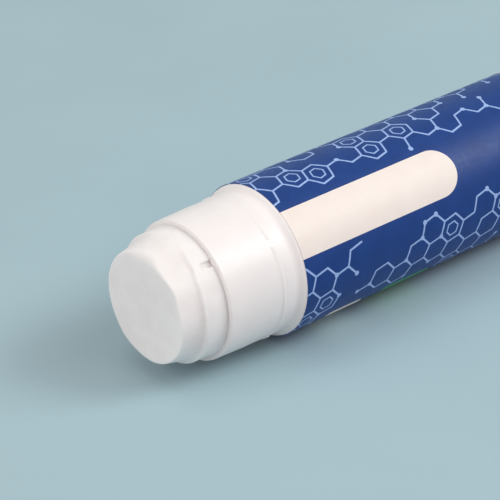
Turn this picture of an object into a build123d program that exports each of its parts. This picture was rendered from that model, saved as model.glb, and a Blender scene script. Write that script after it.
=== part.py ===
"""Twist-up glue stick of the 21 g size, lying on its side with its cap off.

The stick lies along X with the glue towards -X and the twist knob towards +X.
It rests on z = 0, and the origin is the middle of its footprint.
Stations are distances along the stick from the front edge of the label,
positive towards the knob.
"""
import os
from math import atan2, hypot, radians, sqrt, tan

from build123d import *

# Barrel: the outer tube, with the neck that the cap slides over
BARREL_D = 25.0
BARREL_WALL = 1.95
BODY_L = 60.5
REAR_BAND_L = 1.5
NECK_WALL = 0.91
NECK_L = 9.35
LEAD_L = 5.4
LEAD_DROP = 0.16
FOOT_L = 4.6
FOOT_DRAFT = 0.07
FLANK_L = 0.65
COVE_SHARE = 0.55
CROWN_SHARE = 0.23
LIP_ROUND_SHARE = 0.27
LIP_INNER_ROUND_SHARE = 0.13
BULKHEAD_T = 1.8
REAR_ROUND = 0.3

# Cap bead: a low broken ring at the foot of the neck, which the cap clicks over
BEAD_COUNT = 4
BEAD_GAP_DEG = 6.4
BEAD_GAP_AT_DEG = 134.8
BEAD_H = 0.18
BEAD_L = 1.5
BEAD_RISE_L = 0.7
BEAD_CREST_L = 0.15

# Label: a printed film round the barrel, flush with the shoulder's crown and held by a rear band
LABEL_T = 0.1
LABEL_RECESS = 0.15
LABEL_EDGE_GAP = 0.05
LABEL_BACK_GAP = 0.01

# Guide ribs: two ridges in the bore that stop the carrier and glue from turning
RIB_COUNT = 2
RIB_AT_DEG = 130.0
RIB_H = 0.5
RIB_W = 0.8
RIB_SETBACK = 6.2
RIB_LEAD = 1.0
RIB_LEAD_DROP = 0.45

# Lead screw: a left-hand thread, so that turning the knob clockwise feeds glue out
THREAD_PITCH = 4.0
THREAD_CORE_D = 4.4
THREAD_CREST_D = 6.6
THREAD_ROOT_W = 1.7
THREAD_CREST_W = 0.9
THREAD_SINK = 0.4
TIP_SETBACK = 6.0
TIP_CHAMFER = 0.6
COLLAR_D = 12.0
COLLAR_T = 1.6
JOURNAL_D = 8.0
DRIVE_RELIEF = 0.04
DRIVE_L = 6.0
DRIVE_CHAMFER = 0.4

# Carrier: the cup that holds the foot of the glue and runs on the screw
CARRIER_H = 8.5
CARRIER_FLOOR_T = 1.2
CARRIER_WALL = 0.8
BOSS_D = 9.6
BOSS_H = 7.0
NUT_TURNS = 1.25
NUT_ROOT_W = 2.1
NUT_CREST_W = 1.3
NUT_SINK = 0.3
WIPER_COUNT = 2
WIPER_L = 0.8
WIPER_H = 0.1
WIPER_PITCH = 3.4

# Glue: the cast stick, worn to a step and a taper at its open end
GLUE_OUT = 7.6
STEP_AT = 3.7
STEP_IN = 0.45
STEP_ROUND_SHARE = 0.6
TAPER_IN = 0.95
FACE_ROUND = 0.4
GLUE_ROOF = 4.0
FEED_FROM_EMPTY_REST = 8.4

# Twist knob: a ribbed hollow moulding that turns the screw
KNOB_INSET = 0.3
KNOB_L = 11.4
KNOB_WALL = 1.5
KNOB_END_T = 1.6
KNOB_HUB_D = 11.0
KNOB_RING_W = 2.6
KNOB_DISH = 0.8
KNOB_ROUND = 0.6
WEB_COUNT = 6
WEB_T = 0.9
WEB_SINK = 0.3
SPIGOT_L = 1.5
SPIGOT_WALL = 1.4
FLUTE_COUNT = 36
FLUTE_D = 1.5
FLUTE_DEPTH = 0.38
FLUTE_MARGIN = 1.2

# Clearances
RUN_GAP = 0.1
GLUE_GAP = 0.15
RIB_GAP = 0.15
NUT_GAP = 0.2
GLUE_SCREW_GAP = 0.5
KNOB_GAP = 0.3
END_PLAY = 0.15
SOCKET_GAP = 0.05
CAST_GAP = 0.02
CUT_OVER = 1.0
SAME = 0.001

# Radii worked out from the sizes above
barrel_r = BARREL_D / 2
bore_r = barrel_r - BARREL_WALL
neck_r = bore_r + NECK_WALL
lip_r = neck_r - LEAD_DROP
foot_r = neck_r + FOOT_DRAFT
recess_r = barrel_r - LABEL_RECESS
glue_r = bore_r - GLUE_GAP
step_r = glue_r - STEP_IN
face_r = step_r - TAPER_IN
knob_r = barrel_r - KNOB_INSET
skirt_r = knob_r - KNOB_WALL
spigot_r = skirt_r - KNOB_GAP
thread_core_r = THREAD_CORE_D / 2
thread_crest_r = THREAD_CREST_D / 2
journal_r = JOURNAL_D / 2
drive_af = sqrt(2) * (journal_r - DRIVE_RELIEF)

# Stations along the stick, from the front edge of the label
lip_at = -(FOOT_L + NECK_L)
neck_foot_at = -FOOT_L
bead_rear_at = neck_foot_at + BEAD_L
label_rear_at = BODY_L - REAR_BAND_L
bulkhead_at = BODY_L - BULKHEAD_T
knob_front_at = BODY_L + KNOB_GAP
knob_rear_at = knob_front_at + KNOB_L
face_at = lip_at - GLUE_OUT
step_at = lip_at - STEP_AT
rib_front_at = lip_at + RIB_SETBACK
collar_front_at = bulkhead_at - END_PLAY - COLLAR_T
carrier_rear_at = collar_front_at - 2 * END_PLAY - FEED_FROM_EMPTY_REST
carrier_front_at = carrier_rear_at - CARRIER_H
glue_seat_at = carrier_rear_at - CARRIER_FLOOR_T
boss_front_at = glue_seat_at - BOSS_H
tip_at = lip_at + TIP_SETBACK
glue_bore_end_at = face_at + GLUE_ROOF

# Where the stick's own frame lies in the part's frame
mid_at = (face_at + knob_rear_at) / 2
axis_z = barrel_r


def placed(solid):
    """Move a solid from stations on the axis to its place on the table."""
    return solid.moved(Location((-mid_at, 0, axis_z)))


def turned(profile_face):
    """Revolve a face drawn in XZ (station, radius) about the stick's axis."""
    return revolve(profile_face, axis=Axis.X)


def outline(*points):
    """Close a straight-sided outline of (station, radius) points into a face."""
    corners = [Vector(station, 0, radius) for station, radius in points]
    return make_face(Polyline(corners + corners[:1]))


def ring(front, rear, inner_r, outer_r):
    """A plain ring between two stations."""
    return turned(outline((front, inner_r), (front, outer_r), (rear, outer_r), (rear, inner_r)))


def rod(front, rear, radius):
    """A plain round bar between two stations."""
    return ring(front, rear, 0, radius)


def around(solid, count, start_deg):
    """Copies of a solid that stands at +Y, spread evenly round the axis."""
    step = 360 / count
    return [solid.rotate(Axis.X, start_deg + step * index) for index in range(count)]


def circles(solid, radius):
    """The round edges of a solid that have one radius."""
    return solid.edges().filter_by(GeomType.CIRCLE).filter_by(lambda edge: abs(edge.radius - radius) < SAME)


def bar_at_wall(front, rear, inner_r, outer_r, width):
    """A straight bar along the stick that crosses the wall at +Y."""
    block = Box(rear - front, outer_r - inner_r, width)
    return block.moved(Location(((front + rear) / 2, (inner_r + outer_r) / 2, 0)))


def helical_ridge(front, turns, foot_r, crest_r, foot_w, crest_w, sink, phase_deg):
    """A left-hand ridge that winds round the axis from a station towards +X."""
    length = turns * THREAD_PITCH
    helix = Helix(pitch=THREAD_PITCH, height=length, radius=foot_r, lefthand=True)
    start = Plane(origin=helix @ 0, x_dir=(1, 0, 0), z_dir=helix % 0)
    buried = sink if crest_r < foot_r else -sink
    reach = crest_r - foot_r
    corners = [
        (buried, -foot_w / 2),
        (0, -foot_w / 2),
        (reach, -crest_w / 2),
        (reach, crest_w / 2),
        (0, foot_w / 2),
        (buried, foot_w / 2),
    ]
    section = start * make_face(Polyline(corners + corners[:1]))
    ridge = sweep(section, path=helix, is_frenet=True)
    along_x = ridge.rotate(Axis.Z, phase_deg).rotate(Axis.Y, 90)
    return along_x.moved(Location((front, 0, 0)))


def make_barrel():
    """Tube, shoulder, neck and bulkhead in one moulding."""
    label_end = label_rear_at + LABEL_EDGE_GAP
    shoulder_h = recess_r - foot_r
    flank_slope = hypot(FLANK_L, shoulder_h)
    half_turn = atan2(shoulder_h, FLANK_L) / 2
    crown_at = -CROWN_SHARE * flank_slope
    barrel = turned(outline(
        (crown_at - FLANK_L, foot_r),
        (neck_foot_at, neck_r),
        (lip_at + LEAD_L, neck_r),
        (lip_at, lip_r),
        (lip_at, bore_r),
        (bulkhead_at, bore_r),
        (bulkhead_at, journal_r + RUN_GAP),
        (BODY_L, journal_r + RUN_GAP),
        (BODY_L, spigot_r - SPIGOT_WALL),
        (BODY_L + SPIGOT_L, spigot_r - SPIGOT_WALL),
        (BODY_L + SPIGOT_L, spigot_r),
        (BODY_L, spigot_r),
        (BODY_L, barrel_r),
        (label_end, barrel_r),
        (label_end, recess_r),
        (crown_at, recess_r),
    ))
    lip_wall = lip_r - bore_r
    barrel = fillet(circles(barrel, foot_r), flank_slope * COVE_SHARE / tan(half_turn))
    barrel = fillet(circles(barrel, recess_r).sort_by(Axis.X)[0], flank_slope * CROWN_SHARE / tan(half_turn))
    barrel = fillet(circles(barrel, lip_r), lip_wall * LIP_ROUND_SHARE)
    barrel = fillet(circles(barrel, bore_r).sort_by(Axis.X)[0], lip_wall * LIP_INNER_ROUND_SHARE)
    barrel = fillet(circles(barrel, barrel_r).sort_by(Axis.X)[-1], REAR_ROUND)
    barrel += make_cap_bead()
    return barrel + make_guide_ribs()


def make_cap_bead():
    """The broken ring that the cap clicks over, steeper towards the lip."""
    crest_at = neck_foot_at + BEAD_RISE_L
    bead = turned(outline(
        (neck_foot_at, neck_r - BEAD_H),
        (crest_at, neck_r + BEAD_H),
        (crest_at + BEAD_CREST_L, neck_r + BEAD_H),
        (bead_rear_at, neck_r - BEAD_H),
    ))
    gap_w = 2 * neck_r * tan(radians(BEAD_GAP_DEG / 2))
    gap = bar_at_wall(neck_foot_at - CUT_OVER, bead_rear_at + CUT_OVER, bore_r, barrel_r, gap_w)
    return bead - around(gap, BEAD_COUNT, BEAD_GAP_AT_DEG)


def make_guide_ribs():
    """Two ridges along the bore, sloped at their front ends."""
    rib = bar_at_wall(rib_front_at, bulkhead_at, bore_r - RIB_H, bore_r + RIB_H, RIB_W)
    front_edge = rib.edges().filter_by(Axis.Z).group_by(Axis.X)[0].sort_by(Axis.Y)[0]
    rib = chamfer(front_edge, RIB_LEAD, RIB_LEAD_DROP, reference=rib.faces().sort_by(Axis.Y)[0])
    return around(rib, RIB_COUNT, RIB_AT_DEG)


def make_label():
    """A thin film wrapped once round the barrel."""
    inner_r = recess_r + LABEL_BACK_GAP
    return ring(0, label_rear_at, inner_r, inner_r + LABEL_T)


def make_feed_screw():
    """Coarse left-hand screw with a collar, a journal and a square drive."""
    thread_rear = collar_front_at - THREAD_ROOT_W
    thread_front = tip_at + TIP_CHAMFER + THREAD_ROOT_W
    core = rod(tip_at, collar_front_at, thread_core_r)
    core = chamfer(core.edges().group_by(Axis.X)[0], TIP_CHAMFER)
    thread = helical_ridge(
        thread_front,
        (thread_rear - thread_front) / THREAD_PITCH,
        thread_core_r,
        thread_crest_r,
        THREAD_ROOT_W,
        THREAD_CREST_W,
        THREAD_SINK,
        0,
    )
    collar = rod(collar_front_at, collar_front_at + COLLAR_T, COLLAR_D / 2)
    journal_rear = knob_front_at + END_PLAY
    journal = rod(collar_front_at + COLLAR_T, journal_rear, journal_r)
    drive = Box(DRIVE_L, drive_af, drive_af)
    drive = chamfer(drive.edges().group_by(Axis.X)[-1], DRIVE_CHAMFER)
    drive = drive.moved(Location((journal_rear + DRIVE_L / 2, 0, 0)))
    return core + thread + collar + journal + drive


def make_carrier():
    """Cup with wiper rings, rib slots and a threaded boss."""
    cup_r = glue_r
    inner_r = cup_r - CARRIER_WALL
    cup = turned(outline(
        (carrier_rear_at, 0),
        (carrier_rear_at, cup_r),
        (carrier_front_at, cup_r),
        (carrier_front_at, inner_r),
        (glue_seat_at, inner_r),
        (glue_seat_at, BOSS_D / 2),
        (boss_front_at, BOSS_D / 2),
        (boss_front_at, 0),
    ))
    for index in range(WIPER_COUNT):
        wiper_rear = carrier_rear_at - WIPER_L - WIPER_PITCH * index
        cup += ring(wiper_rear - WIPER_L, wiper_rear, inner_r, cup_r + WIPER_H)
    slot_w = RIB_W + 2 * RIB_GAP
    slot = bar_at_wall(
        carrier_front_at - CUT_OVER,
        carrier_rear_at + CUT_OVER,
        bore_r - RIB_H - RIB_GAP,
        barrel_r,
        slot_w,
    )
    cup -= around(slot, RIB_COUNT, RIB_AT_DEG)
    nut_bore_r = thread_crest_r + NUT_GAP
    cup -= rod(boss_front_at - CUT_OVER, carrier_rear_at + CUT_OVER, nut_bore_r)
    return cup + make_nut_ridge(nut_bore_r)


def make_nut_ridge(nut_bore_r):
    """The inner ridge that rides in the valley of the screw's thread."""
    thread_front = tip_at + TIP_CHAMFER + THREAD_ROOT_W
    nut_front = boss_front_at + NUT_ROOT_W / 2 + NUT_SINK
    turns_from_thread = (nut_front - thread_front) / THREAD_PITCH
    valley_phase = 180 - 360 * (turns_from_thread % 1)
    return helical_ridge(
        nut_front,
        NUT_TURNS,
        nut_bore_r,
        thread_core_r + NUT_GAP,
        NUT_ROOT_W,
        NUT_CREST_W,
        NUT_SINK,
        valley_phase,
    )


def make_glue():
    """The cast glue: foot in the carrier, grooves of the ribs, worn step and taper."""
    cast_r = glue_r - CARRIER_WALL - CAST_GAP
    body = turned(outline(
        (glue_seat_at, 0),
        (glue_seat_at, cast_r),
        (carrier_front_at - CAST_GAP, cast_r),
        (carrier_front_at - CAST_GAP, glue_r),
        (step_at, glue_r),
        (step_at, step_r),
        (face_at, face_r),
        (face_at, 0),
    ))
    body = fillet(circles(body, glue_r).sort_by(Axis.X)[0], STEP_IN * STEP_ROUND_SHARE)
    body = fillet(circles(body, face_r), FACE_ROUND)
    groove_front = rib_front_at - FEED_FROM_EMPTY_REST - RIB_GAP
    groove = bar_at_wall(
        groove_front,
        glue_seat_at + CUT_OVER,
        bore_r - RIB_H - RIB_GAP,
        barrel_r,
        RIB_W + 2 * RIB_GAP,
    )
    body -= around(groove, RIB_COUNT, RIB_AT_DEG)
    body -= rod(boss_front_at - CAST_GAP, glue_seat_at + CUT_OVER, BOSS_D / 2 + CAST_GAP)
    return body - rod(glue_bore_end_at, glue_seat_at, thread_crest_r + GLUE_SCREW_GAP)


def make_twist_knob():
    """Hollow ribbed knob with a dished end to stand the stick on."""
    hollow_rear = knob_rear_at - KNOB_DISH - KNOB_END_T
    shell = turned(outline(
        (knob_front_at, skirt_r),
        (knob_front_at, knob_r),
        (knob_rear_at, knob_r),
        (knob_rear_at, knob_r - KNOB_RING_W),
        (knob_rear_at - KNOB_DISH, knob_r - KNOB_RING_W - KNOB_DISH),
        (knob_rear_at - KNOB_DISH, 0),
        (hollow_rear, 0),
        (hollow_rear, skirt_r),
    ))
    shell = fillet(circles(shell, knob_r), KNOB_ROUND)
    hub_front = knob_front_at + END_PLAY
    hub_r = KNOB_HUB_D / 2
    shell += rod(hub_front, hollow_rear, hub_r)
    web_front = BODY_L + SPIGOT_L + KNOB_GAP
    web = bar_at_wall(web_front, hollow_rear, hub_r - WEB_SINK, skirt_r + WEB_SINK, WEB_T)
    shell += around(web, WEB_COUNT, 0)
    socket_af = drive_af + 2 * SOCKET_GAP
    socket_l = DRIVE_L + SOCKET_GAP
    socket = Box(socket_l, socket_af, socket_af)
    shell -= socket.moved(Location((hub_front + socket_l / 2, 0, 0)))

    flute_r = FLUTE_D / 2
    flute_l = KNOB_L - 2 * FLUTE_MARGIN
    flute = Cylinder(flute_r, flute_l, rotation=(0, 90, 0))
    flute_mid = knob_front_at + KNOB_L / 2
    flute = flute.moved(Location((flute_mid, knob_r + flute_r - FLUTE_DEPTH, 0)))
    return shell - around(flute, FLUTE_COUNT, 0)


def main():
    """Write one file for each piece."""
    pieces = {
        "barrel": make_barrel(),
        "label": make_label(),
        "glue": make_glue(),
        "carrier": make_carrier(),
        "feed_screw": make_feed_screw(),
        "twist_knob": make_twist_knob(),
    }
    os.makedirs("parts", exist_ok=True)
    for name, solid in pieces.items():
        export_step(placed(solid), f"parts/{name}.step")


main()
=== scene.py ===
"""Looks of the uncapped glue stick: moulded white plastic, waxy glue and a printed film label.

Everything is in metres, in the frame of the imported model: the stick lies along X,
with the glue towards -X, on the table at z = 0. Angles round the stick start at +Y
and grow over the top, so 90 is up and 180 is the side that faces the camera.
"""
import math
import random

import bmesh
import bpy
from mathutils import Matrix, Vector, noise
from mathutils.geometry import delaunay_2d_cdt


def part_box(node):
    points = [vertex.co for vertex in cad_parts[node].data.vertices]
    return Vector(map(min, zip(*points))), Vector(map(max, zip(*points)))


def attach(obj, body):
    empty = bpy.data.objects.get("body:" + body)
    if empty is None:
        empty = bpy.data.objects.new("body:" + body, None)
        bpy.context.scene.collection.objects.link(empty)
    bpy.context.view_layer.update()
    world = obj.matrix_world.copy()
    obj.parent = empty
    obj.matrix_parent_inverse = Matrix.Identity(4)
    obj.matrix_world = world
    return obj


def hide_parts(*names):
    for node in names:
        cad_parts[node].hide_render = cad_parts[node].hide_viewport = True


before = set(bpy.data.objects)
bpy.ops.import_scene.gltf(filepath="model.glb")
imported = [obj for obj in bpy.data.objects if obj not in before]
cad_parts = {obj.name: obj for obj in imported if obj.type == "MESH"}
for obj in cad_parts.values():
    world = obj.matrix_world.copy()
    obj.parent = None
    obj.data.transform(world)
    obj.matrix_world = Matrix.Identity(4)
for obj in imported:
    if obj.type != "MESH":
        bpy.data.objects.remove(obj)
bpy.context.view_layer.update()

MM = 0.001

# Sizes read from the frame
barrel_low, barrel_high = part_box("barrel")
label_low, label_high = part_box("label")
barrel_r = (barrel_high.z - barrel_low.z) / 2
axis_z = (barrel_high.z + barrel_low.z) / 2
label_r = (label_high.z - label_low.z) / 2
label_front = label_low.x
label_length = label_high.x - label_low.x

# Millimetres from the label's front edge: the lip ahead of it, the other two behind it
lip_mm = (label_front - barrel_low.x) / MM
glue_rear_mm = (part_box("glue")[1].x - label_front) / MM
carrier_mm = (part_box("carrier")[0].x - label_front) / MM

# Camera, measured in the photograph: its place in barrel radii from the foot of the label's edge
PHOTO_PX = 500
FOCAL_PX = 2344.8
CAMERA_IN_RADII = (-16.123, -18.840, 15.780)
CAMERA_AZIMUTH_DEG = 40.43
CAMERA_DOWN_DEG = 30.55
SENSOR_MM = 36.0
CLIP_M = (0.01, 20.0)

# Parts of a noise texture's range over which a surface's tone and roughness change
TONE_RANGE = (0.35, 0.65)
ROUGHNESS_RANGE = (0.3, 0.7)

# Label print, in millimetres on the unrolled film and degrees round the stick
SEAM_DEG = 318.0
OVERLAP_MM = 2.0
OVERLAP_LIFT_MM = 0.035
OVERLAP_RAMP_MM = 0.6
FILM_MM = 0.09
FACET_MM = 0.85
PANEL_CENTRE_DEG = 136.9
PANEL_WIDTH_MM = 8.1
PANEL_TIP_MM = 33.7
PANEL_TIP_STEPS = 14
PANEL_TIP_FLAT_MM = 0.01
BARE_BAND_END_MM = 57.5
BARE_BAND_WIDTH_MM = 8.4
BLOCK_TOP_DEG = 218.5
BLOCK_HEIGHT_MM = 7.0
WHITE_BLOCK_MM = (6.9, 13.9)
GREEN_BLOCK_MM = (18.6, 28.4)
BLOCK_CORNER_MM = 0.8
PRINT_MARGIN_MM = 1.0
CELL_SIDE_MM = 2.5
CELL_TURN_DEG = 17.0
LINE_MM = 0.32
THIN_LINE_MM = 0.24
DOT_MM = 0.85
DOT_SIDES = 12
SMALL_CELL = 0.5
CELL_SHARE = 0.52
SMALL_SHARE = 0.3
SPUR_SHARE = 0.5
DOT_SHARE = 0.16
PRINT_SEED = 11

# Cutting the film: points closer than the first are joined, and what lies further than the
# second outside the film is dropped
CUT_JOIN_MM = 0.0005
CUT_MARGIN_MM = 0.0001

# Inks of the print with their darkest and lightest tone as on screen, 0 to 255. The first is
# the ground, and a later one covers an earlier one.
INKS = {
    "navy": ((14, 55, 122), (18, 60, 129)),
    "pale": ((150, 178, 228), (157, 185, 234)),
    "cream": ((236, 226, 218), (239, 230, 222)),
    "green": ((40, 150, 90), (48, 160, 98)),
}

# Tones of the glue
GLUE_TONES = ((238, 235, 233), (242, 240, 238))

# Glue as worn: millimetres ahead of the label's edge, radii off the axis, depths and widths.
# RUBBED_BEFORE and RUBBED_BEYOND share the step's softness out behind it and ahead of it.
# Each flat of the face's edge has its angle, its spread and how deep it is rubbed in.
# SIDE_RELIEF_ROUND is how fast the side's relief changes round the stick.
BORE_R_MM = 10.55
GLUE_LIP_MM = 10.54
GLUE_SIDE_MM = 10.42
GLUE_FLARE_MM = 1.6
STEP_AT_MM = 17.55
STEP_SWAY_MM = 0.25
STEP_SWAY_DEG = 170.0
STEP_DIP_MM = 0.35
STEP_DIP_DEG = 126.0
STEP_DIP_SPREAD_DEG = 11.0
STEP_SOFT_MM = 0.25
STEP_SOFTER_MM = 2.4
STEP_EARLIER_MM = 2.0
STEP_DROP_MM = 0.3
RUBBED_BEFORE = 0.3
RUBBED_BEYOND = 0.7
TAPER_MM = 1.12
TAPER_POWER = 0.6
WORN_POWER = 1.15
EDGE_FLATS = ((118.0, 11.0, 0.38), (139.0, 9.0, -0.14), (156.0, 9.0, 0.1))
FACE_AT_MM = 21.49
FACE_ROUND_MM = 0.25
FACE_ROUNDER_MM = 1.2
WORN_SIDE_DEG = 90.0
WORN_SPREAD_DEG = 22.0
FACE_RELIEF_MM = 0.09
FACE_RELIEF_SIZE_MM = 5.0
SIDE_RELIEF_MM = 0.05
SIDE_RELIEF_SIZE_MM = 3.0
SIDE_RELIEF_ROUND = 3.0
SIDE_RELIEF_ONSET_MM = 1.0
GROOVES_DEG = (130.0, 310.0)
GROOVE_END_MM = 16.35
GROOVE_FLOOR_MM = 10.03
GROOVE_FLAT_MM = 0.43
GROOVE_EDGE_MM = 0.2
GROOVE_RUNOUT_MM = 1.3

# Foot of the glue in the carrier: its radius, how far its collar stays clear of the carrier's
# rim, the hole for the carrier's boss (radius and depth) and the hole for the screw (radius and
# how far ahead of the label's edge it ends)
FOOT_R_MM = 9.58
FOOT_GAP_MM = 0.02
BOSS_HOLE_MM = (4.82, 7.02)
SCREW_HOLE_MM = (3.8, 17.4)

# Rings and facets of the glue. The fine rings start FINE_RINGS_MM behind the grooves' end and
# stop FINE_RINGS_STOP_MM behind the rounding of the face.
PLAIN_RINGS_MM = (0.0, 8.0, 12.0)
FINE_RINGS_MM = 2.6
FINE_STEP_MM = 0.15
FINE_RINGS_STOP_MM = 0.9
EDGE_RINGS = 10
FACE_RINGS = (0.95, 0.86, 0.75, 0.62, 0.5, 0.38, 0.25, 0.12)
ANGLE_STEP_DEG = 3
GROOVE_ANGLE_STEP_DEG = 0.5
GROOVE_ANGLE_STEPS = 12
SHARP_EDGE_DEG = 50.0

# Smear of glue that the lip has wiped off: how far it reaches over the lip, into the bore and
# into the grooves, how thin it is at its outer edge, and how much that edge wanders
SMEAR_OUT_MM = 0.12
SMEAR_PROUD_MM = 0.015
SMEAR_DEPTH_MM = 0.11
SMEAR_SEAT_MM = 0.004
SMEAR_IN_GROOVE_MM = 0.4
SMEAR_ALONG_GROOVE_MM = 0.3
SMEAR_THIN_MM = SMEAR_PROUD_MM / 3
SMEAR_WANDER = 0.3
SMEAR_WANDER_SCALE = 3.0
SMEAR_WANDER_AT = 5.7

# Surroundings: the table's half width, the light that comes from all round, and the backdrop
TABLE_REACH_M = 1.6
AMBIENT = (255, 238, 233)
AMBIENT_STRENGTH = 0.44
BACKDROP = (190, 206, 211)

# Lamps: name, place and size in metres, power in watts, colour
LAMPS = (
    ("key", (0.50, -0.48, 0.62), 0.4, 3.35, (1.0, 1.0, 1.0)),
    ("high", (0.30, -0.42, 0.76), 0.5, 1.5, (0.85, 0.97, 1.0)),
    ("top", (-0.20, 0.15, 0.95), 0.6, 1.5, (0.80, 0.97, 1.0)),
    ("fill", (-0.85, 0.10, 0.50), 0.7, 3.15, (1.0, 0.98, 0.97)),
    ("low", (-0.55, -0.85, 0.22), 0.5, 0.7, (1.0, 0.38, 0.42)),
)


def srgb(red, green, blue):
    """A colour given as on screen, 0 to 255, in the linear values that shaders use."""
    def linear(value):
        share = value / 255
        return share / 12.92 if share <= 0.04045 else ((share + 0.055) / 1.055) ** 2.4
    return (linear(red), linear(green), linear(blue), 1.0)


def on_stick(station, angle, radius):
    """The point at a station behind the label's front edge, an angle in radians and a radius."""
    return Vector((
        label_front + station,
        radius * math.cos(angle),
        axis_z + radius * math.sin(angle),
    ))


def new_object(name, data):
    """Link a mesh, camera or lamp to the scene under its name."""
    piece = bpy.data.objects.new(name, data)
    bpy.context.scene.collection.objects.link(piece)
    return piece


class Surface:
    """A Principled material whose colour, roughness and relief vary in space."""

    def __init__(self, name, **sockets):
        self.material = bpy.data.materials.new(name)
        self.material.use_nodes = True
        self.nodes = self.material.node_tree.nodes
        self.links = self.material.node_tree.links
        self.shader = self.nodes["Principled BSDF"]
        self.place = self.nodes.new("ShaderNodeTexCoord").outputs["Object"]
        for socket, value in sockets.items():
            self.shader.inputs[socket.replace("_", " ")].default_value = value

    def noise(self, size_mm, detail=3.0, stretch=(1, 1, 1)):
        """Noise whose features are about size_mm long, stretched along the axes."""
        mapping = self.nodes.new("ShaderNodeMapping")
        mapping.inputs["Scale"].default_value = [1 / s for s in stretch]
        self.links.new(self.place, mapping.inputs["Vector"])
        texture = self.nodes.new("ShaderNodeTexNoise")
        texture.inputs["Scale"].default_value = 1 / (size_mm * MM)
        texture.inputs["Detail"].default_value = detail
        self.links.new(mapping.outputs["Vector"], texture.inputs["Vector"])
        return texture.outputs["Fac"]

    def colour(self, low, high, size_mm, **options):
        """Vary the base colour between two tones, given as on screen."""
        ramp = self.nodes.new("ShaderNodeValToRGB")
        for stop, position, tone in zip(ramp.color_ramp.elements, TONE_RANGE, (low, high)):
            stop.position = position
            stop.color = srgb(*tone)
        self.links.new(self.noise(size_mm, **options), ramp.inputs["Fac"])
        self.links.new(ramp.outputs["Color"], self.shader.inputs["Base Color"])

    def roughness(self, low, high, size_mm, **options):
        """Vary the roughness between two values."""
        spread = self.nodes.new("ShaderNodeMapRange")
        spread.inputs["From Min"].default_value = ROUGHNESS_RANGE[0]
        spread.inputs["From Max"].default_value = ROUGHNESS_RANGE[1]
        spread.inputs["To Min"].default_value = low
        spread.inputs["To Max"].default_value = high
        self.links.new(self.noise(size_mm, **options), spread.inputs["Value"])
        self.links.new(spread.outputs["Result"], self.shader.inputs["Roughness"])

    def relief(self, layers):
        """Stack bumps: each layer is (feature size in mm, height in mm, options)."""
        normal = None
        for size_mm, height_mm, options in layers:
            bump = self.nodes.new("ShaderNodeBump")
            bump.inputs["Distance"].default_value = height_mm * MM
            self.links.new(self.noise(size_mm, **options), bump.inputs["Height"])
            if normal:
                self.links.new(normal, bump.inputs["Normal"])
            normal = bump.outputs["Normal"]
        self.links.new(normal, self.shader.inputs["Normal"])


def make_white_plastic():
    """Satin moulded polypropylene, a little translucent."""
    surface = Surface(
        "white_plastic",
        Subsurface_Weight=0.25,
        Subsurface_Radius=(1.0, 0.97, 0.95),
        Subsurface_Scale=0.0006,
        Specular_IOR_Level=0.45,
    )
    surface.colour((240, 236, 234), (243, 239, 237), size_mm=6.0)
    surface.roughness(0.34, 0.44, size_mm=1.2)
    surface.relief([(0.25, 0.002, {}), (5.0, 0.03, {})])
    return surface.material


def make_inner_plastic():
    """Matt natural polypropylene of the hidden carrier and screw."""
    surface = Surface(
        "inner_plastic",
        Subsurface_Weight=0.2,
        Subsurface_Radius=(1.0, 0.95, 0.9),
        Subsurface_Scale=0.0006,
    )
    surface.colour((226, 226, 222), (236, 236, 232), size_mm=3.0)
    surface.roughness(0.42, 0.55, size_mm=0.8)
    surface.relief([(0.3, 0.003, {})])
    return surface.material


def make_glue_surface():
    """Waxy, slightly translucent glue with faint smears from use."""
    surface = Surface(
        "glue",
        Subsurface_Weight=0.6,
        Subsurface_Radius=(1.0, 0.97, 0.95),
        Subsurface_Scale=0.0015,
        Specular_IOR_Level=0.3,
    )
    surface.colour(*GLUE_TONES, size_mm=3.0, detail=4.0)
    surface.roughness(0.42, 0.6, size_mm=0.9, stretch=(1, 3, 1))
    surface.relief([(0.35, 0.004, {"stretch": (1, 4, 1)}), (2.5, 0.02, {})])
    return surface.material


def make_smear_surface():
    """The thin smear of glue, which hides what is under it."""
    surface = Surface("glue_smear", Specular_IOR_Level=0.3)
    surface.colour(*GLUE_TONES, size_mm=1.5, detail=4.0)
    surface.roughness(0.45, 0.6, size_mm=0.5)
    surface.relief([(0.3, 0.003, {})])
    return surface.material


def make_ink(name, low, high):
    """One flat ink of the glossy printed film."""
    surface = Surface(name, Specular_IOR_Level=0.3)
    surface.colour(low, high, size_mm=3.0, detail=4.0)
    surface.roughness(0.38, 0.48, size_mm=0.7)
    surface.relief([(0.2, 0.001, {}), (4.0, 0.012, {})])
    return surface.material


def arc_mm(angle_deg):
    """How far round the unrolled film an angle lies from the seam, in millimetres."""
    return math.radians((angle_deg - SEAM_DEG) % 360) * label_r / MM


def rounded_box(low, high, corner, steps=5):
    """Points of a rounded rectangle on the film, from its low and high corners."""
    points = []
    centres = (
        (high[0] - corner, high[1] - corner, 0),
        (low[0] + corner, high[1] - corner, 90),
        (low[0] + corner, low[1] + corner, 180),
        (high[0] - corner, low[1] + corner, 270),
    )
    for x, y, start in centres:
        for index in range(steps + 1):
            turn = math.radians(start + 90 * index / steps)
            points.append((x + corner * math.cos(turn), y + corner * math.sin(turn)))
    return points


def polygon(centre, radius, sides, turn=0.0):
    """A regular polygon on the film."""
    return [
        (
            centre[0] + radius * math.cos(turn + 2 * math.pi * index / sides),
            centre[1] + radius * math.sin(turn + 2 * math.pi * index / sides),
        )
        for index in range(sides)
    ]


def stroke(start, end, width):
    """A printed line with rounded ends."""
    along = math.atan2(end[1] - start[1], end[0] - start[0])
    cap_steps = 4
    points = []
    for centre, base in ((end, along - math.pi / 2), (start, along + math.pi / 2)):
        for index in range(cap_steps + 1):
            turn = base + math.pi * index / cap_steps
            points.append((
                centre[0] + width / 2 * math.cos(turn),
                centre[1] + width / 2 * math.sin(turn),
            ))
    return points


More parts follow.
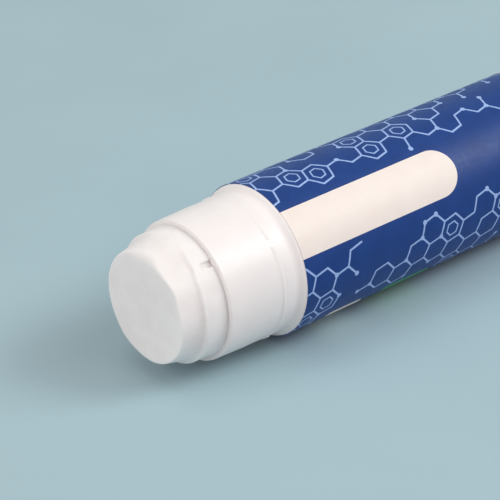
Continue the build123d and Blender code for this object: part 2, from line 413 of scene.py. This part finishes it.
def corner_key(point):
    """A corner of the honeycomb rounded, so that the cells that share it agree on it."""
    return (round(point[0], 2), round(point[1], 2))


class LabelPrint:
    """The print on the unrolled film: station along it, arc round it."""

    def __init__(self):
        self.length = label_length / MM
        self.round = 2 * math.pi * label_r / MM
        self.width = self.round + OVERLAP_MM
        self.shapes = []
        self.quiet = []

    def add(self, ink, points):
        """Print a closed shape."""
        self.shapes.append((ink, points))

    def keep_quiet(self, low, high):
        """Leave plain ground in a box and its margin."""
        margin = PRINT_MARGIN_MM
        self.quiet.append((
            low[0] - margin,
            low[1] - margin,
            high[0] + margin,
            high[1] + margin,
        ))

    def quiet_distance(self, point):
        """How far a point lies from the nearest quiet box, or 0 inside one."""
        def to_box(box):
            across = max(box[0] - point[0], 0, point[0] - box[2])
            along = max(box[1] - point[1], 0, point[1] - box[3])
            return math.hypot(across, along)
        return min(to_box(box) for box in self.quiet)

    def panel(self):
        """The cream panel from the label's front edge to a round end, and a bare band behind it."""
        centre = arc_mm(PANEL_CENTRE_DEG)
        half = PANEL_WIDTH_MM / 2
        low = (-PANEL_WIDTH_MM, centre - half)
        high = (PANEL_TIP_MM, centre + half)
        corner = half - PANEL_TIP_FLAT_MM
        self.add("cream", rounded_box(low, high, corner, PANEL_TIP_STEPS))
        self.keep_quiet(low, high)
        half = BARE_BAND_WIDTH_MM / 2
        self.keep_quiet((PANEL_TIP_MM, centre - half), (BARE_BAND_END_MM, centre + half))

    def blocks(self):
        """Two plain printed blocks low on the camera's side."""
        low_arc = arc_mm(BLOCK_TOP_DEG)
        for ink, (front, rear) in (("cream", WHITE_BLOCK_MM), ("green", GREEN_BLOCK_MM)):
            low = (front, low_arc)
            high = (rear, low_arc + BLOCK_HEIGHT_MM)
            self.add(ink, rounded_box(low, high, BLOCK_CORNER_MM))
            self.keep_quiet(low, high)

    def clear(self, *points):
        """Whether all the points lie outside the quiet boxes."""
        return all(self.quiet_distance(point) > 0 for point in points)

    def cells(self):
        """The centre and corners of every cell of the honeycomb that touches the film."""
        turn = math.radians(CELL_TURN_DEG)
        step = CELL_SIDE_MM * math.sqrt(3)
        reach = int((self.length + self.width) / step) + 2

        def on_film(centre):
            along = -step < centre[0] < self.length + step
            return along and -step < centre[1] < self.width + step

        for row in range(-reach, reach):
            for column in range(-reach, reach):
                x = step * (column + row / 2)
                y = CELL_SIDE_MM * 1.5 * row
                centre = (
                    x * math.cos(turn) - y * math.sin(turn),
                    x * math.sin(turn) + y * math.cos(turn),
                )
                if on_film(centre):
                    yield centre, polygon(centre, CELL_SIDE_MM, 6, turn + math.pi / 6)

    def pick_cells(self, chance):
        """The corners that each corner is joined to, the sides to draw and the small hexagons."""
        joined = {}
        drawn = set()
        small = []
        for centre, corners in self.cells():
            keys = [corner_key(corner) for corner in corners]
            sides = list(zip(keys, keys[1:] + keys[:1]))
            for first, second in sides:
                joined.setdefault(first, set()).add(second)
                joined.setdefault(second, set()).add(first)
            if chance.random() < CELL_SHARE:
                drawn.update(frozenset(side) for side in sides)
                if chance.random() < SMALL_SHARE and self.clear(centre, *corners):
                    first = corners[0]
                    turn = math.atan2(first[1] - centre[1], first[0] - centre[0])
                    small.append(polygon(centre, CELL_SIDE_MM * SMALL_CELL, 6, turn))
        return joined, drawn, small

    def pick_spurs(self, chance, joined, drawn, corners_drawn):
        """Lines that stick out of the drawn cells, each from its corner to its end."""
        spurs = []
        for corner in corners_drawn:
            for other in sorted(joined[corner]):
                free = frozenset((corner, other)) not in drawn and other not in corners_drawn
                if free and chance.random() < SPUR_SHARE:
                    spurs.append((corner, other))
        return spurs

    def honeycomb(self):
        """A broken honeycomb of pale lines, with small hexagons, spurs and dots."""
        chance = random.Random(PRINT_SEED)
        joined, drawn, small = self.pick_cells(chance)
        corners_drawn = sorted({corner for side in drawn for corner in side})
        spurs = self.pick_spurs(chance, joined, drawn, corners_drawn)
        for side in sorted(sorted(side) for side in drawn):
            if self.clear(*side):
                self.add("pale", stroke(*side, LINE_MM))
        for corner, end in spurs:
            if self.clear(corner, end):
                self.add("pale", stroke(corner, end, LINE_MM))
                self.add("pale", polygon(end, DOT_MM / 2, DOT_SIDES))
        for ring in small:
            for first, second in zip(ring, ring[1:] + ring[:1]):
                self.add("pale", stroke(first, second, THIN_LINE_MM))
        for corner in corners_drawn:
            if chance.random() < DOT_SHARE and self.clear(corner):
                self.add("pale", polygon(corner, DOT_MM / 2, DOT_SIDES))


def label_radius(arc):
    """The film's outer radius: it rides up over its own start at the seam."""
    climb = (arc - (2 * math.pi * label_r / MM - OVERLAP_RAMP_MM)) / OVERLAP_RAMP_MM
    climb = min(max(climb, 0), 1)
    return label_r + OVERLAP_LIFT_MM * MM * climb * climb * (3 - 2 * climb)


def spoke(point):
    """The direction from the stick's axis out to a point."""
    return Vector((0, point.y, point.z - axis_z)).normalized()


def film_outlines(sheet):
    """Points, edges and faces of the film's strips and of the print's shapes."""
    strips = round(sheet.width / FACET_MM)
    points = []
    edges = []
    for index in range(strips + 1):
        arc = sheet.width * index / strips
        points += [(0, arc), (sheet.length, arc)]
        edges.append((2 * index, 2 * index + 1))
        if index:
            edges += [(2 * index - 2, 2 * index), (2 * index - 1, 2 * index + 1)]
    faces = []
    for _, outline in sheet.shapes:
        faces.append(list(range(len(points), len(points) + len(outline))))
        points += outline
    return points, edges, faces


def cut_film(sheet):
    """The flat film cut along the print's outlines: points, triangles and each one's ink."""
    points, edges, faces = film_outlines(sheet)
    flat, _, triangles, _, _, owned = delaunay_2d_cdt(
        [Vector(point) for point in points], edges, faces, 0, CUT_JOIN_MM
    )
    margin = CUT_MARGIN_MM
    order = list(INKS)
    kept = []
    inks = []
    for triangle, shapes in zip(triangles, owned):
        x = sum(flat[index].x for index in triangle) / 3
        y = sum(flat[index].y for index in triangle) / 3
        if -margin < x < sheet.length + margin and -margin < y < sheet.width + margin:
            kept.append(tuple(triangle))
            inks.append(max((order.index(sheet.shapes[shape][0]) for shape in shapes), default=0))
    return flat, kept, inks


def wrap_film(sheet, flat):
    """The flat film's points, wrapped round the barrel."""
    wrapped = []
    for point in flat:
        arc = min(max(point.y, 0), sheet.width)
        angle = math.radians(SEAM_DEG) + arc * MM / label_r
        wrapped.append(on_stick(point.x * MM, angle, label_radius(arc)))
    return wrapped


def turn_in_rim(mesh):
    """Give the film its cut edges, in the ink beside them. Returns how many faces are printed."""
    film = bmesh.new()
    film.from_mesh(mesh)
    loose = [vertex for vertex in film.verts if not vertex.link_faces]
    bmesh.ops.delete(film, geom=loose, context="VERTS")
    bmesh.ops.recalc_face_normals(film, faces=film.faces)
    middle = film.faces[:][len(film.faces) // 2]
    if middle.normal.dot(spoke(middle.calc_center_median())) < 0:
        bmesh.ops.reverse_faces(film, faces=film.faces)
    printed = len(film.faces)
    inner = {}
    for edge in [edge for edge in film.edges if edge.is_boundary]:
        for vertex in edge.verts:
            if vertex not in inner:
                inner[vertex] = film.verts.new(vertex.co - spoke(vertex.co) * FILM_MM * MM)
        loop = edge.link_loops[0]
        start, end = loop.vert, loop.link_loop_next.vert
        cut = film.faces.new((end, start, inner[start], inner[end]))
        cut.material_index = loop.face.material_index
    film.to_mesh(mesh)
    film.free()
    mesh.update()
    return printed


def shade_film(mesh, printed):
    """Shade the printed faces as one round film, and the cut edges flat."""
    normals = []
    for face in mesh.polygons:
        face.use_smooth = face.index < printed
        for index in face.vertices:
            round_normal = spoke(mesh.vertices[index].co)
            normals.append(round_normal if face.index < printed else face.normal)
    mesh.normals_split_custom_set(normals)


def make_label():
    """The printed film, cut along the print's outlines and wrapped round the barrel."""
    sheet = LabelPrint()
    sheet.panel()
    sheet.blocks()
    sheet.honeycomb()
    flat, triangles, colours = cut_film(sheet)
    mesh = bpy.data.meshes.new("label_film")
    mesh.from_pydata(wrap_film(sheet, flat), [], triangles)
    for ink, tones in INKS.items():
        mesh.materials.append(make_ink("ink_" + ink, *tones))
    for face, colour in zip(mesh.polygons, colours):
        face.material_index = colour
    mesh.update()
    shade_film(mesh, turn_in_rim(mesh))
    film = new_object("label_film", mesh)
    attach(film, "barrel")
    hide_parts("label")


def ease(value, start, end):
    """Go smoothly from 0 at start to 1 at end."""
    share = min(max((value - start) / (end - start), 0), 1)
    return share * share * (3 - 2 * share)


def glue_angles():
    """Angles round the glue in degrees, close together at its two grooves."""
    angles = set(range(0, 360, ANGLE_STEP_DEG))
    steps = range(-GROOVE_ANGLE_STEPS, GROOVE_ANGLE_STEPS + 1)
    for groove in GROOVES_DEG:
        angles.update(groove + GROOVE_ANGLE_STEP_DEG * index for index in steps)
    return sorted(angles)


def swell(angle_deg, at_deg, spread_deg):
    """1 at one angle round the stick, falling smoothly to 0 away from it."""
    off = (angle_deg - at_deg + 180) % 360 - 180
    return math.exp(-(off / spread_deg) ** 2)


def groove_share(ahead, angle_deg):
    """1 on the floor of a groove that a rib of the barrel has left, 0 outside it."""
    nearest = min(abs((angle_deg - groove + 180) % 360 - 180) for groove in GROOVES_DEG)
    off = math.radians(nearest) * GLUE_SIDE_MM
    across = 1 - ease(off, GROOVE_FLAT_MM, GROOVE_FLAT_MM + GROOVE_EDGE_MM)
    along = 1 - ease(ahead, GROOVE_END_MM - GROOVE_RUNOUT_MM, GROOVE_END_MM)
    return across * along


def worn_share(angle_deg):
    """How much softer the glue is rubbed at an angle: 1 at the worn side, 0 away from it."""
    return swell(angle_deg, WORN_SIDE_DEG, WORN_SPREAD_DEG)


def step_ahead(angle_deg):
    """How far ahead of the label the worn part of the glue starts, in millimetres."""
    sway = STEP_SWAY_MM * math.cos(math.radians(angle_deg - STEP_SWAY_DEG))
    dip = STEP_DIP_MM * swell(angle_deg, STEP_DIP_DEG, STEP_DIP_SPREAD_DEG)
    return STEP_AT_MM + sway - dip


def worn_radius(ahead, angle_deg):
    """The glue's radius in millimetres, up to the rounding of its face."""
    share = worn_share(angle_deg)
    start = step_ahead(angle_deg) - STEP_EARLIER_MM * share
    flare = ease(ahead, lip_mm, lip_mm + GLUE_FLARE_MM)
    radius = GLUE_LIP_MM + (GLUE_SIDE_MM - GLUE_LIP_MM) * flare
    soft = STEP_SOFT_MM + STEP_SOFTER_MM * share
    crisp = 1 - (1 - min(max((ahead - start) / soft, 0), 1)) ** 2
    rubbed = ease(ahead, start - soft * RUBBED_BEFORE, start + soft * RUBBED_BEYOND)
    drop = STEP_DROP_MM * (1 - share)
    radius -= drop * (crisp * (1 - share) + rubbed * share)
    taper = TAPER_MM + STEP_DROP_MM * share
    taper += sum(depth * swell(angle_deg, at, spread) for at, spread, depth in EDGE_FLATS)
    power = TAPER_POWER + (WORN_POWER - TAPER_POWER) * share
    radius -= taper * (max(ahead - start, 0) / (FACE_AT_MM - start)) ** power
    return radius + (GROOVE_FLOOR_MM - radius) * groove_share(ahead, angle_deg)


def face_round(angle_deg):
    """The radius in millimetres of the face's rubbed edge."""
    return FACE_ROUND_MM + FACE_ROUNDER_MM * worn_share(angle_deg)


def face_point(radius, angle_deg, inset):
    """A point of the worn face, inset millimetres behind its front."""
    angle = math.radians(angle_deg)
    place = Vector((radius * math.cos(angle), radius * math.sin(angle), 0))
    relief = noise.noise(place / FACE_RELIEF_SIZE_MM)
    ahead = FACE_AT_MM - inset + FACE_RELIEF_MM * relief
    return on_stick(-ahead * MM, angle, radius * MM)


def side_point(ahead, angle_deg):
    """A point of the glue's side, rough where it stands out of the lip."""
    angle = math.radians(angle_deg)
    place = Vector((
        ahead / SIDE_RELIEF_SIZE_MM,
        math.cos(angle) * SIDE_RELIEF_ROUND,
        math.sin(angle) * SIDE_RELIEF_ROUND,
    ))
    rough = SIDE_RELIEF_MM * (noise.noise(place) - 1)
    rough *= ease(ahead, lip_mm, lip_mm + SIDE_RELIEF_ONSET_MM)
    return on_stick(-ahead * MM, angle, (worn_radius(ahead, angle_deg) + rough) * MM)


def glue_foot(angles):
    """Rings of the hole for the screw, the hole for the boss and the foot in the carrier."""
    boss_r, boss_depth = BOSS_HOLE_MM
    screw_r, screw_end = SCREW_HOLE_MM
    profile = (
        (-screw_end, screw_r),
        (glue_rear_mm - boss_depth, screw_r),
        (glue_rear_mm - boss_depth, boss_r),
        (glue_rear_mm, boss_r),
        (glue_rear_mm, FOOT_R_MM),
        (carrier_mm - FOOT_GAP_MM, FOOT_R_MM),
    )
    return [
        [on_stick(station * MM, math.radians(angle), radius * MM) for angle in angles]
        for station, radius in profile
    ]


def glue_side(angles):
    """Rings of the side, from the carrier to just behind the rounding of the face."""
    first = GROOVE_END_MM - FINE_RINGS_MM
    last = FACE_AT_MM - FACE_ROUND_MM - FACE_ROUNDER_MM - FINE_RINGS_STOP_MM
    fine = range(int((last - first) / FINE_STEP_MM) + 1)
    places = [FOOT_GAP_MM - carrier_mm, *PLAIN_RINGS_MM]
    places += [first + FINE_STEP_MM * index for index in fine]
    return [[side_point(ahead, angle) for angle in angles] for ahead in places]


def glue_face(angles):
    """Rings of the face's rubbed edge and of the face."""
    corners = [face_round(angle) for angle in angles]
    edges = [
        worn_radius(FACE_AT_MM - corner, angle) - SIDE_RELIEF_MM
        for corner, angle in zip(corners, angles)
    ]
    rings = []
    for index in range(EDGE_RINGS + 1):
        turn = math.radians(90 * index / EDGE_RINGS)
        rings.append([
            face_point(edge - corner * (1 - math.cos(turn)), angle, corner * (1 - math.sin(turn)))
            for edge, corner, angle in zip(edges, corners, angles)
        ])
    for share in FACE_RINGS:
        rings.append([
            face_point((edge - corner) * share, angle, 0)
            for edge, corner, angle in zip(edges, corners, angles)
        ])
    return rings


def ring_faces(rings, closed=False):
    """Faces between rings of points, also from the last ring to the first where closed."""
    count = len(rings[0])
    faces = []
    for row in range(len(rings) if closed else len(rings) - 1):
        low = row * count
        high = (row + 1) % len(rings) * count
        for column in range(count):
            after = (column + 1) % count
            faces.append((low + column, low + after, high + after, high + column))
    return faces


def ring_object(name, points, faces, material, rounded):
    """A closed object of rings, shaded round except at sharp edges where rounded."""
    mesh = bpy.data.meshes.new(name)
    mesh.from_pydata(points, [], faces)
    mesh.materials.append(material)
    solid = bmesh.new()
    solid.from_mesh(mesh)
    bmesh.ops.recalc_face_normals(solid, faces=solid.faces)
    if rounded:
        for face in solid.faces:
            face.smooth = True
        for edge in solid.edges:
            edge.smooth = edge.calc_face_angle(0) < math.radians(SHARP_EDGE_DEG)
    solid.to_mesh(mesh)
    solid.free()
    return new_object(name, mesh)


def make_glue(material):
    """The glue stick itself, worn at the front and hollow over the screw."""
    angles = glue_angles()
    rings = glue_foot(angles) + glue_side(angles) + glue_face(angles)
    points = [point for ring in rings for point in ring]
    faces = ring_faces(rings)
    hole_end, face_middle = len(points), len(points) + 1
    points += [on_stick(-SCREW_HOLE_MM[1] * MM, 0, 0), face_point(0, 0, 0)]
    count = len(angles)
    last = hole_end - count
    for column in range(count):
        after = (column + 1) % count
        faces.append((after, column, hole_end))
        faces.append((last + column, last + after, face_middle))
    stick = ring_object("glue_worn", points, faces, material, True)
    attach(stick, "carriage")
    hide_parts("glue")


def make_smear(material):
    """A thin ring of glue that has been wiped off on the inner edge of the lip."""
    bore = BORE_R_MM - SMEAR_SEAT_MM / 2
    rings = [[], [], [], []]
    for angle in glue_angles():
        turn = math.radians(angle)
        share = groove_share(lip_mm, angle)
        place = Vector((math.cos(turn), math.sin(turn), SMEAR_WANDER_AT)) * SMEAR_WANDER_SCALE
        outer = BORE_R_MM + SMEAR_OUT_MM * (1 + SMEAR_WANDER * noise.noise(place))
        inner = bore - SMEAR_IN_GROOVE_MM * share
        back = lip_mm - SMEAR_DEPTH_MM - SMEAR_ALONG_GROOVE_MM * share
        section = (
            (lip_mm + SMEAR_THIN_MM, outer),
            (lip_mm + SMEAR_PROUD_MM, inner),
            (back, inner),
            (back, BORE_R_MM + SMEAR_SEAT_MM),
        )
        for ring, (ahead, radius) in zip(rings, section):
            ring.append(on_stick(-ahead * MM, turn, radius * MM))
    points = [point for ring in rings for point in ring]
    smear = ring_object("lip_smear", points, ring_faces(rings, closed=True), material, False)
    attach(smear, "barrel")


def make_camera():
    """The photograph's view."""
    data = bpy.data.cameras.new("photo_camera")
    data.sensor_width = SENSOR_MM
    data.lens = FOCAL_PX / PHOTO_PX * SENSOR_MM
    data.clip_start, data.clip_end = CLIP_M
    camera = new_object("photo_camera", data)
    offset = Vector(CAMERA_IN_RADII) * barrel_r
    camera.location = Vector((label_front, 0, 0)) + offset
    azimuth = math.radians(CAMERA_AZIMUTH_DEG)
    down = math.radians(CAMERA_DOWN_DEG)
    forward = Vector((
        math.sin(azimuth) * math.cos(down),
        math.cos(azimuth) * math.cos(down),
        -math.sin(down),
    ))
    camera.rotation_mode = "QUATERNION"
    camera.rotation_quaternion = forward.to_track_quat("-Z", "Y")
    bpy.context.scene.camera = camera


def make_table():
    """A wide pale table top."""
    mesh = bpy.data.meshes.new("table")
    reach = TABLE_REACH_M
    mesh.from_pydata(
        [(-reach, -reach, 0), (reach, -reach, 0), (reach, reach, 0), (-reach, reach, 0)],
        [],
        [(0, 1, 2, 3)],
    )
    table = new_object("table", mesh)
    surface = Surface("table", Roughness=0.85, Specular_IOR_Level=0.2)
    surface.colour((163, 189, 197), (166, 192, 200), size_mm=40.0)
    mesh.materials.append(surface.material)


def make_light(name, place, size, watts, colour):
    """A soft square lamp that faces the stick."""
    data = bpy.data.lights.new(name, "AREA")
    data.size = size
    data.energy = watts
    data.color = colour
    lamp = new_object(name, data)
    lamp.location = place
    toward = Vector((0, 0, axis_z)) - lamp.location
    lamp.rotation_mode = "QUATERNION"
    lamp.rotation_quaternion = toward.to_track_quat("-Z", "Y")


def make_world():
    """Even warm surroundings, which the camera and reflections see as a pale backdrop."""
    world = bpy.data.worlds.new("studio")
    world.use_nodes = True
    bpy.context.scene.world = world
    nodes = world.node_tree.nodes
    links = world.node_tree.links
    ambient = nodes["Background"]
    ambient.inputs["Color"].default_value = srgb(*AMBIENT)
    ambient.inputs["Strength"].default_value = AMBIENT_STRENGTH
    backdrop = nodes.new("ShaderNodeBackground")
    backdrop.inputs["Color"].default_value = srgb(*BACKDROP)
    path = nodes.new("ShaderNodeLightPath")
    seen = path.outputs["Is Camera Ray"]
    for ray in ("Is Glossy Ray", "Is Transmission Ray"):
        either = nodes.new("ShaderNodeMath")
        either.operation = "MAXIMUM"
        links.new(seen, either.inputs[0])
        links.new(path.outputs[ray], either.inputs[1])
        seen = either.outputs["Value"]
    mix = nodes.new("ShaderNodeMixShader")
    links.new(seen, mix.inputs["Fac"])
    links.new(ambient.outputs["Background"], mix.inputs[1])
    links.new(backdrop.outputs["Background"], mix.inputs[2])
    links.new(mix.outputs["Shader"], nodes["World Output"].inputs["Surface"])


def dress(node, material):
    """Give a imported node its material."""
    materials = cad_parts[node].data.materials
    materials.clear()
    materials.append(material)


make_camera()
make_world()
make_table()
for lamp in LAMPS:
    make_light(*lamp)

white_plastic = make_white_plastic()
inner_plastic = make_inner_plastic()
dress("barrel", white_plastic)
dress("twist_knob", white_plastic)
dress("carrier", inner_plastic)
dress("feed_screw", inner_plastic)
make_glue(make_glue_surface())
make_smear(make_smear_surface())
make_label()

bpy.context.scene.view_settings.view_transform = "Standard"
